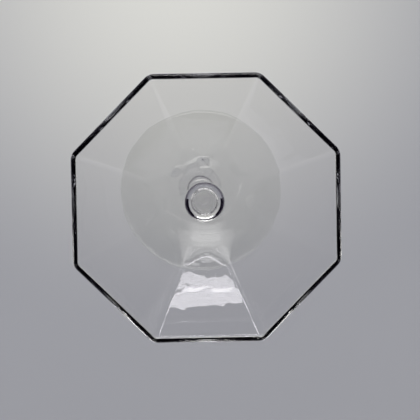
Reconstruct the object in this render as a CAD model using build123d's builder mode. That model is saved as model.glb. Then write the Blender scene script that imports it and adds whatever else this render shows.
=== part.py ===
"""Octagonal stemmed coupe in clear glass: a pressed bowl, a drawn stem and a pressed round foot.

Millimetres, +Z up through the mouth, origin at the centre of the plane the foot rests on.
Flats of the octagon face +X, +Y and the diagonals between them.
"""

import os
from math import pi

from build123d import *

# Driving dimensions
RIM_ACROSS_FLATS = 98.0
TOTAL_HEIGHT = 126.0
FOOT_DIAMETER = 72.0
STEM_DIAMETER = 9.4
JOINT_DIAMETER = 16.4  # where the stem meets the bowl
OUTSIDE_DEPTH = 39.0  # rim to that joint

# Bowl: eight panels run down into a round dish
SIDES = 8
RIM_THICKNESS = 2.0
RIM_BEVEL_DEPTH = 0.8  # the acute outside edge of the rim is bevelled
RIM_BEVEL_WIDTH = 0.9
RIM_INNER_ROUND = 0.7
OUTER_CORNER_RADIUS = 5.0
INNER_CORNER_RADIUS = 4.2
PANEL_SECTIONS = 4
PANEL_BULGE = 1.0  # how far a panel bows out from straight
OUTER_PANEL_BOTTOM = 12.1  # half across flats where the panels would reach the joint's level
INNER_PANEL_BOTTOM = 8.0
INSIDE_DEPTH = 35.5
INNER_DISH_RADIUS = 31.2
OUTER_DISH_RADIUS = 28.0
INNER_CONE_START = 17.5  # radius where the sphere becomes a straight cone
OUTER_CONE_START = 17.0
OVERRUN = 70.0  # the cone goes on to this radius, outside the panels and above the rim

# Stem
TOP_FLARE = 9.0
BASE_FLARE = 8.0
STEM_BASE_DIAMETER = 15.0

# Foot
FOOT_HEIGHT = 9.0
FOOT_EDGE_THICKNESS = 3.2
FOOT_EDGE_ROUND = 1.4
FOOT_SHOULDER = 4.0  # width of the band round the edge
FOOT_SHOULDER_RISE = 0.5
HOLLOW_DIAMETER = 50.0
HOLLOW_DEPTH = 1.6

joint_z = TOTAL_HEIGHT - OUTSIDE_DEPTH
joint_radius = JOINT_DIAMETER / 2
stem_radius = STEM_DIAMETER / 2
base_radius = STEM_BASE_DIAMETER / 2
foot_radius = FOOT_DIAMETER / 2
shoulder_radius = foot_radius - FOOT_SHOULDER
shoulder_z = FOOT_EDGE_THICKNESS + FOOT_SHOULDER_RISE
rim_outer = RIM_ACROSS_FLATS / 2
rim_inner = rim_outer - RIM_THICKNESS
bevel_z = TOTAL_HEIGHT - RIM_BEVEL_DEPTH


def sagitta(radius, reach):
    """How far a sphere has risen above its lowest point at a distance from the axis."""
    return radius - (radius**2 - reach**2) ** 0.5


def panel_sections(top_z, rim, bottom):
    """Plane and half width of each octagon that the panels are lofted through."""
    for step in range(PANEL_SECTIONS):
        share = step / (PANEL_SECTIONS - 1)
        bow = 4 * PANEL_BULGE * share * (1 - share)
        yield Plane.XY.offset(top_z + (joint_z - top_z) * share), rim + (bottom - rim) * share + bow


def dish_profile(radius, bottom_z, cone_start):
    """Half section of a round dish: a spherical bottom that runs out tangent into a cone."""
    rise = sagitta(radius, cone_start)
    slope = cone_start / (radius - rise)
    edge = (cone_start, bottom_z + rise)
    cone_top_z = bottom_z + rise + (OVERRUN - cone_start) * slope
    with BuildLine() as line:
        RadiusArc((0, bottom_z), edge, -radius)
        Polyline(edge, (OVERRUN, cone_top_z), (0, cone_top_z), (0, bottom_z))
    return line.line


# Hollow of the bowl
with BuildPart() as hollow:
    for plane, reach in panel_sections(TOTAL_HEIGHT, rim_inner, INNER_PANEL_BOTTOM):
        with BuildSketch(plane) as inner_octagon:
            RegularPolygon(reach, SIDES, major_radius=False, rotation=180 / SIDES)
            fillet(inner_octagon.vertices(), INNER_CORNER_RADIUS)
    loft()
    with BuildSketch(Plane.XZ) as inner_dish:
        add(dish_profile(INNER_DISH_RADIUS, TOTAL_HEIGHT - INSIDE_DEPTH, INNER_CONE_START))
        make_face()
    revolve(axis=Axis.Z, mode=Mode.INTERSECT)

# Bowl, cut flat underneath where the stem is fused on
with BuildPart() as bowl:
    for plane, reach in panel_sections(bevel_z, rim_outer, OUTER_PANEL_BOTTOM):
        with BuildSketch(plane) as outer_octagon:
            RegularPolygon(reach, SIDES, major_radius=False, rotation=180 / SIDES)
            fillet(outer_octagon.vertices(), OUTER_CORNER_RADIUS)
    loft()
    outer_bottom_z = joint_z - sagitta(OUTER_DISH_RADIUS, joint_radius)
    with BuildSketch(Plane.XZ) as outer_dish:
        add(dish_profile(OUTER_DISH_RADIUS, outer_bottom_z, OUTER_CONE_START))
        make_face()
    revolve(axis=Axis.Z, mode=Mode.INTERSECT)
    for height, reach in ((bevel_z, rim_outer), (TOTAL_HEIGHT, rim_outer - RIM_BEVEL_WIDTH)):
        with BuildSketch(Plane.XY.offset(height)) as bevel_octagon:
            RegularPolygon(reach, SIDES, major_radius=False, rotation=180 / SIDES)
            fillet(bevel_octagon.vertices(), OUTER_CORNER_RADIUS)
    loft()
    add(hollow.part, mode=Mode.SUBTRACT)
    fillet(bowl.faces().sort_by(Axis.Z)[-1].inner_wires()[0].edges(), RIM_INNER_ROUND)
bowl.part.label = "bowl"

# Stem: a straight rod that opens like a trumpet at both ends
with BuildPart() as stem:
    with BuildSketch(Plane.XZ) as stem_profile:
        with BuildLine():
            Line((0, FOOT_HEIGHT), (base_radius, FOOT_HEIGHT))
            Bezier(
                (base_radius, FOOT_HEIGHT),
                (stem_radius + 0.35 * (base_radius - stem_radius), FOOT_HEIGHT + 0.2 * BASE_FLARE),
                (stem_radius, FOOT_HEIGHT + 0.5 * BASE_FLARE),
                (stem_radius, FOOT_HEIGHT + BASE_FLARE),
            )
            Line((stem_radius, FOOT_HEIGHT + BASE_FLARE), (stem_radius, joint_z - TOP_FLARE))
            Bezier(
                (stem_radius, joint_z - TOP_FLARE),
                (stem_radius, joint_z - 0.55 * TOP_FLARE),
                (stem_radius + 0.62 * (joint_radius - stem_radius), joint_z - 0.12 * TOP_FLARE),
                (joint_radius, joint_z),
            )
            Polyline((joint_radius, joint_z), (0, joint_z), (0, FOOT_HEIGHT))
        make_face()
    revolve(axis=Axis.Z)
stem.part.label = "stem"

# Foot: a low dome on a rounded edge, with a shallow hollow underneath
with BuildPart() as foot:
    with BuildSketch(Plane.XZ) as foot_profile:
        with BuildLine():
            ThreePointArc(
                (0, HOLLOW_DEPTH),
                (HOLLOW_DIAMETER / 4, 0.75 * HOLLOW_DEPTH),
                (HOLLOW_DIAMETER / 2, 0),
            )
            Polyline(
                (HOLLOW_DIAMETER / 2, 0),
                (foot_radius, 0),
                (foot_radius, FOOT_EDGE_THICKNESS),
                (shoulder_radius, shoulder_z),
            )
            Bezier(
                (shoulder_radius, shoulder_z),
                (0.65 * shoulder_radius, shoulder_z + 0.2 * (FOOT_HEIGHT - shoulder_z)),
                (0.36 * shoulder_radius, shoulder_z + 0.45 * (FOOT_HEIGHT - shoulder_z)),
                (base_radius, FOOT_HEIGHT),
            )
            Polyline((base_radius, FOOT_HEIGHT), (0, FOOT_HEIGHT), (0, HOLLOW_DEPTH))
        make_face()
    revolve(axis=Axis.Z)
    edge_circles = foot.edges().filter_by(lambda edge: abs(edge.length - 2 * pi * foot_radius) < 0.01)
    fillet(edge_circles, FOOT_EDGE_ROUND)
foot.part.label = "foot"

os.makedirs("parts", exist_ok=True)
export_step(bowl.part, "parts/bowl.step")
export_step(stem.part, "parts/stem.step")
export_step(foot.part, "parts/foot.step")
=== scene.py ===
"""Looks of the octagonal stemmed coupe: fused clear glass on a plain pale floor, seen into the mouth.

Metres, in the CAD model's own frame: +Z up through the mouth, origin under the middle of the foot.
"""

from math import cos, pi, radians, sin, sqrt, tan

import bpy
from mathutils import Matrix, Vector


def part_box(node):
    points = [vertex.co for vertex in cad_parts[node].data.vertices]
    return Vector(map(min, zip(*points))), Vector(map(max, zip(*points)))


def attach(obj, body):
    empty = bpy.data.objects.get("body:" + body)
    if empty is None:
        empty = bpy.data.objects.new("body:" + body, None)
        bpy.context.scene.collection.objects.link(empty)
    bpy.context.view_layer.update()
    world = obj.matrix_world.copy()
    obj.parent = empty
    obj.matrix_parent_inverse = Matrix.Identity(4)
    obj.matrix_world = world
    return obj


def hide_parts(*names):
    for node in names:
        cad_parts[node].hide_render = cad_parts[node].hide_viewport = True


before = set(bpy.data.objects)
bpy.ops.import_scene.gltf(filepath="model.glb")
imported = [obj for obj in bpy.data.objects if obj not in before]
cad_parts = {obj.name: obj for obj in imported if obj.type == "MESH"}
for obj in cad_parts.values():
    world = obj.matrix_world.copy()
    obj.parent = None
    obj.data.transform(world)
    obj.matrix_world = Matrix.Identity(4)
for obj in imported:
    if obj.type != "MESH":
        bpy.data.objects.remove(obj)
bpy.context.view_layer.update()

MM = 0.001
BOWL_LOW, BOWL_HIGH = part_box("bowl")
FOOT_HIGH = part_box("foot")[1]
RIM_REACH = BOWL_HIGH.x  # half across flats
RIM_Z = BOWL_HIGH.z
JOINT_Z = BOWL_LOW.z
FOOT_REACH = FOOT_HIGH.x
FOOT_TOP_Z = FOOT_HIGH.z

# Octagon and rim
SIDES = 8
HALF_TURN = pi / SIDES
OUTER_CORNER = 5.0 * MM
ROUND_SHARE = 0.97  # corner radius over reach where a ring counts as round
RIM_BAND = 2.2 * MM  # width of the edge seen from above
RIM_INNER_ROUND = 0.8 * MM
RIM_OUTER_ROUND = 1.1 * MM
RIM_SLOPE = radians(42)  # of the wall at the rim, from vertical
UNLIMITED = 2  # times the reach, a circle that no corner touches

# Walls of the bowl
PANEL_BOW = 1.0 * MM
INNER_PANEL_FOOT = 8.0 * MM  # reach the panels would have at the joint's level
OUTER_PANEL_FOOT = 12.1 * MM
INSIDE_DEPTH = 35.5 * MM
INNER_DISH_RADIUS = 31.2 * MM
OUTER_DISH_RADIUS = 28.0 * MM
INNER_CONE_START = 17.5 * MM  # reach where a dish's sphere becomes a straight cone
OUTER_CONE_START = 17.0 * MM
DISH_RISE = 4.0 * MM  # up to here a dish is round for certain, above it the panels may cut in
CREASE_SOFTNESS = 0.25 * MM
CENTRE_REACH = 0.4 * MM  # the last ring before a skin is closed to a point

# Stem and foot
STEM_REACH = 4.7 * MM
JOINT_REACH = 8.2 * MM
BASE_REACH = 7.5 * MM
TOP_FLARE = 9.0 * MM
BASE_FLARE = 8.0 * MM
FOOT_EDGE = 3.2 * MM
FOOT_EDGE_ROUND = 1.5 * MM
FOOT_SHOULDER = 4.0 * MM
FOOT_SHOULDER_RISE = 0.5 * MM
HOLLOW_REACH = 25.0 * MM
HOLLOW_DEPTH = 1.6 * MM
EDGE_TILT = 0.12  # radians off the top of the edge's round, where the dome's shoulder meets it

# Rings along each stretch of the sections
RIM_INNER_STATIONS = 8
RIM_OUTER_STATIONS = 12
WALL_STATIONS = 70
DISH_STATIONS = 24
FLARE_STATIONS = 24
BASE_STATIONS = 20
DOME_STATIONS = 40
EDGE_STATIONS = 18
REST_STATIONS = 6


# Rings and skins

FLAT_PLACES = (-1.0, -0.98, -0.84, -0.6, -0.36, -0.12, 0.12, 0.36, 0.6, 0.84, 0.98)
CORNER_STEPS = 9


def ring(reach, corner, z, limit):
    """Points of a rounded octagon, each flat followed by its corner, kept inside a circle."""
    corner = min(corner, ROUND_SHARE * reach)
    half_flat = (reach - corner) * tan(HALF_TURN)
    outline = [(reach, place * half_flat) for place in FLAT_PLACES]
    for step in range(CORNER_STEPS):
        angle = 2 * HALF_TURN * step / CORNER_STEPS
        outline.append((reach - corner + corner * cos(angle), half_flat + corner * sin(angle)))
    points = []
    for side in range(SIDES):
        turn = Matrix.Rotation(side * 2 * HALF_TURN, 3, "Z")
        for x, y in outline:
            scale = lower(1.0, limit / sqrt(x * x + y * y), CREASE_SOFTNESS / reach)
            points.append(turn @ Vector((x * scale, y * scale, z)))
    return points


def skin(name, stations, joint_ends):
    """A closed mesh through rings at (reach, corner, z, limit), closed to a point at both ends.

    joint_ends says, for the first and the last, whether that cap is a fused joint.
    """
    columns = SIDES * (len(FLAT_PLACES) + CORNER_STEPS)
    vertices = []
    for station in stations:
        vertices.extend(ring(*station))
    faces = []
    joint_faces = []
    for row in range(len(stations) - 1):
        low = row * columns
        high = low + columns
        for column in range(columns):
            after = (column + 1) % columns
            faces.append((low + column, high + column, high + after, low + after))
    for end, start in ((0, 0), (1, (len(stations) - 1) * columns)):
        centre = len(vertices)
        vertices.append(Vector((0, 0, stations[-end][2])))
        for column in range(columns):
            after = (column + 1) % columns
            rim_pair = (start + column, start + after)
            faces.append((centre, *(rim_pair[::-1] if end else rim_pair)))
            if joint_ends[end]:
                joint_faces.append(len(faces) - 1)
    mesh = bpy.data.meshes.new(name)
    mesh.from_pydata(vertices, [], faces)
    mesh.polygons.foreach_set("use_smooth", [True] * len(faces))
    for index in joint_faces:
        mesh.polygons[index].material_index = 1
        mesh.polygons[index].use_smooth = False
    mesh.validate()
    piece = bpy.data.objects.new(name, mesh)
    bpy.context.scene.collection.objects.link(piece)
    return piece


def spread(start, end, count):
    """Evenly spaced values from start to end, both included."""
    return [start + (end - start) * step / (count - 1) for step in range(count)]


def sagitta(radius, reach):
    """How far a sphere rises from its bottom to a distance from its axis."""
    return radius - sqrt(radius**2 - reach**2)


def lower(first, second, softness):
    """The lower of two values, with the crease between them softened."""
    gap = max(softness - abs(first - second), 0)
    return min(first, second) - gap * gap / (4 * softness)


def bezier(points, share):
    """A point on a cubic, given its four control points."""
    a, b, c, d = points
    rest = 1 - share
    weights = (rest**3, 3 * rest**2 * share, 3 * rest * share**2, share**3)
    return tuple(sum(w * p[i] for w, p in zip(weights, (a, b, c, d))) for i in (0, 1))


# Bowl


def panel_reach(z, top, foot_reach):
    """How far a bowed panel is from the axis at a height."""
    share = (top[1] - z) / (top[1] - JOINT_Z)
    return top[0] + (foot_reach - top[0]) * share + 4 * PANEL_BOW * share * (1 - share)


def dish_reach(height, radius, cone_start):
    """How far a dish is from the axis at a height above its bottom: a sphere, then a cone."""
    rise = sagitta(radius, cone_start)
    if height < rise:
        return sqrt(radius**2 - (radius - height) ** 2)
    return cone_start + (height - rise) * (radius - rise) / cone_start


def wall(top, foot_reach, dish_radius, dish_z, cone_start, end_reach, corner):
    """Stations down one face of the wall: octagonal panels, cut off by a round dish."""
    for z in spread(top[1], dish_z + DISH_RISE, WALL_STATIONS):
        yield panel_reach(z, top, foot_reach), corner, z, dish_reach(z - dish_z, dish_radius, cone_start)
    start_reach = dish_reach(DISH_RISE, dish_radius, cone_start)
    for reach in spread(start_reach, end_reach, DISH_STATIONS)[1:]:
        yield reach, corner, dish_z + sagitta(dish_radius, reach), reach


def section_arc(centre, radius, start, end, count):
    """Points along an arc of the section, as (reach, z)."""
    angles = spread(start, end, count)
    return [(centre[0] + radius * cos(angle), centre[1] + radius * sin(angle)) for angle in angles]


def rim_corner(reach):
    """Corner radius of the octagon at the rim, so that rings stay parallel."""
    return OUTER_CORNER - (RIM_REACH - reach)


def build_bowl():
    inner_centre = (RIM_REACH - RIM_BAND + RIM_INNER_ROUND * cos(RIM_SLOPE), RIM_Z - RIM_INNER_ROUND)
    outer_centre = (RIM_REACH - RIM_OUTER_ROUND, RIM_Z - RIM_OUTER_ROUND)
    edge = section_arc(inner_centre, RIM_INNER_ROUND, pi - RIM_SLOPE, pi / 2, RIM_INNER_STATIONS)
    edge += section_arc(outer_centre, RIM_OUTER_ROUND, pi / 2, -RIM_SLOPE, RIM_OUTER_STATIONS)
    inner_top, outer_top = edge[0], edge[-1]
    inner_dish_z = RIM_Z - INSIDE_DEPTH
    outer_dish_z = JOINT_Z - sagitta(OUTER_DISH_RADIUS, JOINT_REACH)
    inner_dish = (INNER_DISH_RADIUS, inner_dish_z, INNER_CONE_START)
    outer_dish = (OUTER_DISH_RADIUS, outer_dish_z, OUTER_CONE_START)
    inside = wall(inner_top, INNER_PANEL_FOOT, *inner_dish, CENTRE_REACH, rim_corner(inner_top[0]))
    stations = list(inside)[::-1]
    stations += [(reach, rim_corner(reach), z, UNLIMITED * reach) for reach, z in edge[1:-1]]
    stations += wall(outer_top, OUTER_PANEL_FOOT, *outer_dish, JOINT_REACH, rim_corner(outer_top[0]))
    return skin("bowl_glass", stations, (False, True))


# Stem and foot


def round_stations(profile):
    """Rings of a turned piece, from its profile as (reach, z)."""
    return [(reach, ROUND_SHARE * reach, z, UNLIMITED * reach) for reach, z in profile]


def build_stem():
    top_flare = [
        (JOINT_REACH, JOINT_Z),
        (STEM_REACH + 0.62 * (JOINT_REACH - STEM_REACH), JOINT_Z - 0.12 * TOP_FLARE),
        (STEM_REACH, JOINT_Z - 0.55 * TOP_FLARE),
        (STEM_REACH, JOINT_Z - TOP_FLARE),
    ]
    base_flare = [
        (STEM_REACH, FOOT_TOP_Z + BASE_FLARE),
        (STEM_REACH, FOOT_TOP_Z + 0.5 * BASE_FLARE),
        (STEM_REACH + 0.35 * (BASE_REACH - STEM_REACH), FOOT_TOP_Z + 0.2 * BASE_FLARE),
        (BASE_REACH, FOOT_TOP_Z),
    ]
    profile = [bezier(top_flare, share) for share in spread(0, 1, FLARE_STATIONS)]
    straight = spread(JOINT_Z - TOP_FLARE, FOOT_TOP_Z + BASE_FLARE, BASE_STATIONS)
    profile += [(STEM_REACH, z) for z in straight[1:-1]]
    profile += [bezier(base_flare, share) for share in spread(0, 1, BASE_STATIONS)]
    return skin("stem_glass", round_stations(profile), (True, True))


def build_foot():
    shoulder = (FOOT_REACH - FOOT_SHOULDER, FOOT_EDGE + FOOT_SHOULDER_RISE)
    dome = [
        (BASE_REACH, FOOT_TOP_Z),
        (0.36 * shoulder[0], shoulder[1] + 0.45 * (FOOT_TOP_Z - shoulder[1])),
        (0.65 * shoulder[0], shoulder[1] + 0.2 * (FOOT_TOP_Z - shoulder[1])),
        shoulder,
    ]
    profile = [bezier(dome, share) for share in spread(0, 1, DOME_STATIONS)]
    edge_centre = FOOT_REACH - FOOT_EDGE_ROUND
    for angle in spread(pi / 2 - EDGE_TILT, -pi / 2, EDGE_STATIONS):
        lift = FOOT_EDGE - FOOT_EDGE_ROUND if angle > 0 else FOOT_EDGE_ROUND
        profile.append((edge_centre + FOOT_EDGE_ROUND * cos(angle), lift + FOOT_EDGE_ROUND * sin(angle)))
    rest = spread(edge_centre - 1 * MM, HOLLOW_REACH + 0.6 * MM, REST_STATIONS)
    profile += [(reach, 0.0) for reach in rest]
    for reach in spread(HOLLOW_REACH, CENTRE_REACH, DISH_STATIONS):
        profile.append((reach, HOLLOW_DEPTH * (1 - (reach / HOLLOW_REACH) ** 2)))
    return skin("foot_glass", round_stations(profile), (True, False))


# Materials


def new_material(name):
    """A material, its node tree and its shader."""
    material = bpy.data.materials.new(name)
    material.use_nodes = True
    shader = material.node_tree.nodes["Principled BSDF"]
    return material, material.node_tree, shader


def noise(tree, scale, detail):
    """Noise in the object's own space."""
    place = tree.nodes.new("ShaderNodeTexCoord")
    texture = tree.nodes.new("ShaderNodeTexNoise")
    texture.inputs["Scale"].default_value = scale
    texture.inputs["Detail"].default_value = detail
    tree.links.new(place.outputs["Object"], texture.inputs["Vector"])
    return texture.outputs["Fac"]


def remap(tree, value, low, high, to_low, to_high):
    """A value carried linearly from one range to another."""
    node = tree.nodes.new("ShaderNodeMapRange")
    limits = {"From Min": low, "From Max": high, "To Min": to_low, "To Max": to_high}
    for socket, number in limits.items():
        node.inputs[socket].default_value = number
    tree.links.new(value, node.inputs["Value"])
    return node.outputs["Result"]


BOWL_TINT = (0.995, 0.992, 0.995, 1)
STEM_TINT = (0.98, 0.977, 0.983, 1)
# The foot's glass is darker than the bowl's: partly its own tint, partly painted shade for the darker
# look under the foot
FOOT_TINT_AND_SHADE = (0.925, 0.93, 0.915, 1)
GLASS_IOR = 1.52
SMUDGE_SCALE = 55
SMUDGE_DETAIL = 5
SMUDGE_ROUGHNESS = 0.05
WAVE_DETAIL = 2
LAMP_SHADE = (0.9, 0.9, 0.9, 1)  # of lamp light that went through the glass
# Painted shade: the colour and opacity of the dark sheet at each fused joint
JOINT_SHADE = (0.05, 0.04, 0.07, 1)
JOINT_ALPHA = 0.11


def glass(name, tint, wave_scale, wave_height):
    """Clear pressed glass: faint smudges in the polish and slow waves left by the mould."""
    material, tree, shader = new_material(name)
    shader.inputs["Base Color"].default_value = tint
    shader.inputs["IOR"].default_value = GLASS_IOR
    shader.inputs["Transmission Weight"].default_value = 1.0
    smudges = remap(tree, noise(tree, SMUDGE_SCALE, SMUDGE_DETAIL), 0.5, 0.8, 0.0, SMUDGE_ROUGHNESS)
    tree.links.new(smudges, shader.inputs["Roughness"])
    bump = tree.nodes.new("ShaderNodeBump")
    bump.inputs["Strength"].default_value = 1.0
    bump.inputs["Distance"].default_value = wave_height
    tree.links.new(noise(tree, wave_scale, WAVE_DETAIL), bump.inputs["Height"])
    tree.links.new(bump.outputs["Normal"], shader.inputs["Normal"])
    let_lamps_through(tree, shader)
    return material


def let_lamps_through(tree, shader):
    """Lamp light reaches what stands behind the glass."""
    path = tree.nodes.new("ShaderNodeLightPath")
    clear = tree.nodes.new("ShaderNodeBsdfTransparent")
    clear.inputs["Color"].default_value = LAMP_SHADE
    mix = tree.nodes.new("ShaderNodeMixShader")
    tree.links.new(path.outputs["Is Shadow Ray"], mix.inputs["Fac"])
    tree.links.new(shader.outputs["BSDF"], mix.inputs[1])
    tree.links.new(clear.outputs["BSDF"], mix.inputs[2])
    tree.links.new(mix.outputs["Shader"], tree.nodes["Material Output"].inputs["Surface"])


def fused_joint():
    """Where two pieces were fused there is no surface; the joint is a faint dark sheet, painted shade
    that dims the light through it a little.
    """
    material, _, shader = new_material("fused_joint")
    shader.inputs["Base Color"].default_value = JOINT_SHADE
    shader.inputs["Roughness"].default_value = 1.0
    shader.inputs["Specular IOR Level"].default_value = 0.0
    shader.inputs["Alpha"].default_value = JOINT_ALPHA
    return material


JOINT_MATERIAL = fused_joint()
# Node, shape, and glass with the scale and height of its waves
PIECES = (
    ("bowl", build_bowl, glass("bowl_clear_glass", BOWL_TINT, 70, 0.05 * MM)),
    ("stem", build_stem, glass("stem_clear_glass", STEM_TINT, 90, 0.04 * MM)),
    ("foot", build_foot, glass("foot_clear_glass", FOOT_TINT_AND_SHADE, 60, 0.05 * MM)),
)
for node, build, material in PIECES:
    piece = build()
    piece.data.materials.append(material)
    piece.data.materials.append(JOINT_MATERIAL)
    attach(piece, "root")
    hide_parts(node)


# Floor

FLOOR_HALF_SIZE = 3.0
FLOOR_GAP = 0.1 * MM  # air under the foot, so that the glass and the floor never share a face
# Painted light: the floor's glow is warmer and brighter in a pool behind the glass
POOL_CENTRE = Vector((-0.01, 0.1, 0.0))
POOL_RADIUS = 0.165
PAINTED_LIGHT_POOL = (0.62, 0.62, 0.585, 1)
FLOOR_GLOW = (0.265, 0.27, 0.295, 1)
GLOW_FADE_CENTRE = Vector((0.0, -0.15, 0.0))  # painted falloff: the floor's glow darkens away from this point
GLOW_FADE_NEAR = 0.3
GLOW_FADE_FAR = 0.75
LIT = (1.0, 1.0, 1.0, 1)
DARK = (0.0, 0.0, 0.0, 1)
FLOOR_COLOUR = (0.22, 0.22, 0.225, 1)
FLOOR_GRAIN_SCALE = 6
FLOOR_GRAIN_DETAIL = 3
FLOOR_ROUGHNESS = (0.55, 0.65)


def fade(tree, place, centre, near, far, colours):
    """A colour that eases from the first to the second between two distances from a point."""
    distance = tree.nodes.new("ShaderNodeVectorMath")
    distance.operation = "DISTANCE"
    distance.inputs[1].default_value = centre
    tree.links.new(place, distance.inputs[0])
    ramp = tree.nodes.new("ShaderNodeValToRGB")
    ramp.color_ramp.interpolation = "EASE"
    for stop, colour in zip(ramp.color_ramp.elements, colours):
        stop.color = colour
    tree.links.new(remap(tree, distance.outputs["Value"], near, far, 0.0, 1.0), ramp.inputs["Fac"])
    return ramp.outputs["Color"]


def floor_glow(tree):
    """The floor glows evenly like a light table, with a painted pool of light behind the glass and a
    painted falloff that darkens it far out.
    """
    place = tree.nodes.new("ShaderNodeTexCoord").outputs["Object"]
    pool = fade(tree, place, POOL_CENTRE, 0.0, POOL_RADIUS, (PAINTED_LIGHT_POOL, FLOOR_GLOW))
    # Painted falloff: the glow goes dark far from the glass
    reach = fade(tree, place, GLOW_FADE_CENTRE, GLOW_FADE_NEAR, GLOW_FADE_FAR, (LIT, DARK))
    both = tree.nodes.new("ShaderNodeVectorMath")
    both.operation = "MULTIPLY"
    tree.links.new(pool, both.inputs[0])
    tree.links.new(reach, both.inputs[1])
    return both.outputs["Vector"]


def build_floor():
    mesh = bpy.data.meshes.new("floor_surface")
    signs = ((-1, -1), (1, -1), (1, 1), (-1, 1))
    corners = [(x * FLOOR_HALF_SIZE, y * FLOOR_HALF_SIZE, -FLOOR_GAP) for x, y in signs]
    mesh.from_pydata(corners, [], [(0, 1, 2, 3)])
    floor = bpy.data.objects.new("floor_surface", mesh)
    bpy.context.scene.collection.objects.link(floor)
    material, tree, shader = new_material("pale_floor")
    shader.inputs["Base Color"].default_value = FLOOR_COLOUR
    grain = remap(tree, noise(tree, FLOOR_GRAIN_SCALE, FLOOR_GRAIN_DETAIL), 0, 1, *FLOOR_ROUGHNESS)
    tree.links.new(grain, shader.inputs["Roughness"])
    tree.links.new(floor_glow(tree), shader.inputs["Emission Color"])
    shader.inputs["Emission Strength"].default_value = 1.0
    floor.data.materials.append(material)


FLAG_PLACE = 115 * MM  # either side of the axis
FLAG_HIGH = 90 * MM
FLAG_BACK = -25 * MM
FLAG_FRONT = 140 * MM
FLAG_COLOUR = (0.012, 0.01, 0.02, 1)


def build_flag(side):
    """A black card beside the glass that darkens its edges, seen only in and through the glass."""
    name = "flag_right" if side > 0 else "flag_left"
    mesh = bpy.data.meshes.new(name)
    x = side * FLAG_PLACE
    outline = ((FLAG_BACK, 0), (FLAG_FRONT, 0), (FLAG_FRONT, FLAG_HIGH), (FLAG_BACK, FLAG_HIGH))
    mesh.from_pydata([(x, y, z) for y, z in outline], [], [(0, 1, 2, 3)])
    flag = bpy.data.objects.new(name, mesh)
    bpy.context.scene.collection.objects.link(flag)
    material, _, shader = new_material(name)
    shader.inputs["Base Color"].default_value = FLAG_COLOUR
    shader.inputs["Roughness"].default_value = 1.0
    shader.inputs["Specular IOR Level"].default_value = 0.0
    flag.data.materials.append(material)
    flag.visible_camera = False
    flag.visible_diffuse = False
    flag.visible_shadow = False


build_floor()
for side in (-1, 1):
    build_flag(side)


# Light


def aimed(location, target, up):
    """Matrix that puts an object at location with its -Z towards target and +Y nearest to up."""
    back = (Vector(location) - Vector(target)).normalized()
    right = Vector(up).cross(back).normalized()
    above = back.cross(right)
    turn = Matrix((right, above, back)).transposed().to_4x4()
    return Matrix.Translation(location) @ turn


def softbox(name, location, target, size, watts, colour):
    """A rectangular lamp aimed at a target, not seen by the camera itself."""
    light = bpy.data.lights.new(name, "AREA")
    light.shape = "RECTANGLE"
    light.size, light.size_y = size
    light.energy = watts
    light.color = colour
    lamp = bpy.data.objects.new(name, light)
    lamp.matrix_world = aimed(location, target, (0, 0, 1))
    lamp.visible_camera = False
    bpy.context.scene.collection.objects.link(lamp)
    return lamp


def wall_colour(tree, height, stops):
    """Colour of the studio by how far up a direction points."""
    ramp = tree.nodes.new("ShaderNodeValToRGB")
    elements = ramp.color_ramp.elements
    while len(elements) < len(stops):
        elements.new(0.5)
    for element, (position, colour) in zip(elements, stops):
        element.position, element.color = position, colour
    tree.links.new(height, ramp.inputs["Fac"])
    return ramp.outputs["Color"]


CEILING = (0.014, 0.01, 0.024, 1)
PALE_WALL = ((0.0, (0.3, 0.29, 0.34, 1)), (0.2, (0.2, 0.19, 0.23, 1)), (0.6, CEILING))
DARK_WALL = ((0.0, (0.022, 0.018, 0.03, 1)), (0.6, CEILING))
WALL_BLEND = (-0.45, 0.05)  # Y of a direction, from the pale wall to the dark one


def studio_world():
    """A pale wall towards -Y, a dark one towards +Y, and a dark ceiling."""
    world = bpy.data.worlds.new("studio")
    world.use_nodes = True
    tree = world.node_tree
    place = tree.nodes.new("ShaderNodeTexCoord")
    parts = tree.nodes.new("ShaderNodeSeparateXYZ")
    tree.links.new(place.outputs["Generated"], parts.inputs["Vector"])
    mix = tree.nodes.new("ShaderNodeMix")
    mix.data_type = "RGBA"
    tree.links.new(remap(tree, parts.outputs["Y"], *WALL_BLEND, 0.0, 1.0), mix.inputs["Factor"])
    tree.links.new(wall_colour(tree, parts.outputs["Z"], PALE_WALL), mix.inputs["A"])
    tree.links.new(wall_colour(tree, parts.outputs["Z"], DARK_WALL), mix.inputs["B"])
    tree.links.new(mix.outputs["Result"], tree.nodes["Background"].inputs["Color"])
    bpy.context.scene.world = world


MOUTH = Vector((0, 0, RIM_Z))
WARM_WHITE = (1.0, 0.99, 0.96)
SKIRT_WHITE = (1.0, 0.99, 0.97)
COOL_WHITE = (0.99, 0.97, 1.0)
BAR_WHITE = (1.0, 0.99, 1.0)

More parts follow.
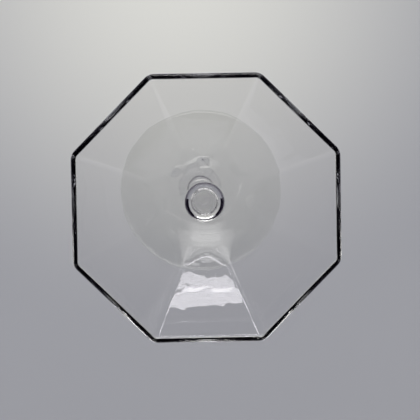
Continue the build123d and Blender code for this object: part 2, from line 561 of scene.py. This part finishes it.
KEY_PLACE = Vector((0, 1.1, 1.0))
KEY_LAYERS = 5  # the key is softboxes inside each other, so that its reflection has a soft edge
KEY_LAYER_STEP = 0.004
KEY_SIZE = (0.9, 0.42)
KEY_SPREAD = (1.3, 0.36)  # added to the size from the innermost layer to the outermost
KEY_WATTS = 10.4  # a square metre, over all layers

studio_world()
for layer in range(KEY_LAYERS):
    share = layer / (KEY_LAYERS - 1)
    size = [start + more * share for start, more in zip(KEY_SIZE, KEY_SPREAD)]
    watts = KEY_WATTS * size[0] * size[1] / KEY_LAYERS
    place = KEY_PLACE + Vector((0, KEY_LAYER_STEP * layer, 0))
    softbox(f"key_{layer}", place, MOUTH, size, watts, WARM_WHITE)
# Narrow lamps low on the +Y side, mirrored in the panel on the -Y side
softbox("strip", (0, 1.0, 0.1940), MOUTH, (0.37, 0.019), 0.185, COOL_WHITE)
softbox("bar", (0.004, 1.0, 0.2295), MOUTH, (0.07, 0.007), 0.0055, BAR_WHITE)
# These two light the glass and leave the floor alone
key_skirt = softbox("key_skirt", (0, 1.05, 0.45), MOUTH, (1.0, 0.3), 1.9, SKIRT_WHITE)
key_skirt.visible_diffuse = False
low_card = softbox("low_card", (0, 0.14, 0.012), (0, 0, 0.08), (0.16, 0.014), 0.05, BAR_WHITE)
low_card.visible_diffuse = False
low_card.visible_glossy = False

# Camera: a long lens looking into the mouth, a little off the axis towards +Y

CAMERA_FROM_MOUTH = Vector((-11.0, 37.0, 570.8)) * MM
AIM_FROM_MOUTH = Vector((1.2, -0.6, 0.0)) * MM
CAMERA_ROLL = radians(-0.96)
LENS_MM = 135.0

camera_data = bpy.data.cameras.new("camera")
camera_data.lens = LENS_MM
camera_data.sensor_width = 36.0
camera = bpy.data.objects.new("camera", camera_data)
camera_up = (-sin(CAMERA_ROLL), cos(CAMERA_ROLL), 0)
camera.matrix_world = aimed(MOUTH + CAMERA_FROM_MOUTH, MOUTH + AIM_FROM_MOUTH, camera_up)
bpy.context.scene.collection.objects.link(camera)
bpy.context.scene.camera = camera

GLASS_BOUNCES = 44  # light runs far round inside the rim

scene = bpy.context.scene
scene.view_settings.view_transform = "Standard"
scene.cycles.max_bounces = GLASS_BOUNCES
scene.cycles.transmission_bounces = GLASS_BOUNCES
scene.cycles.glossy_bounces = 16
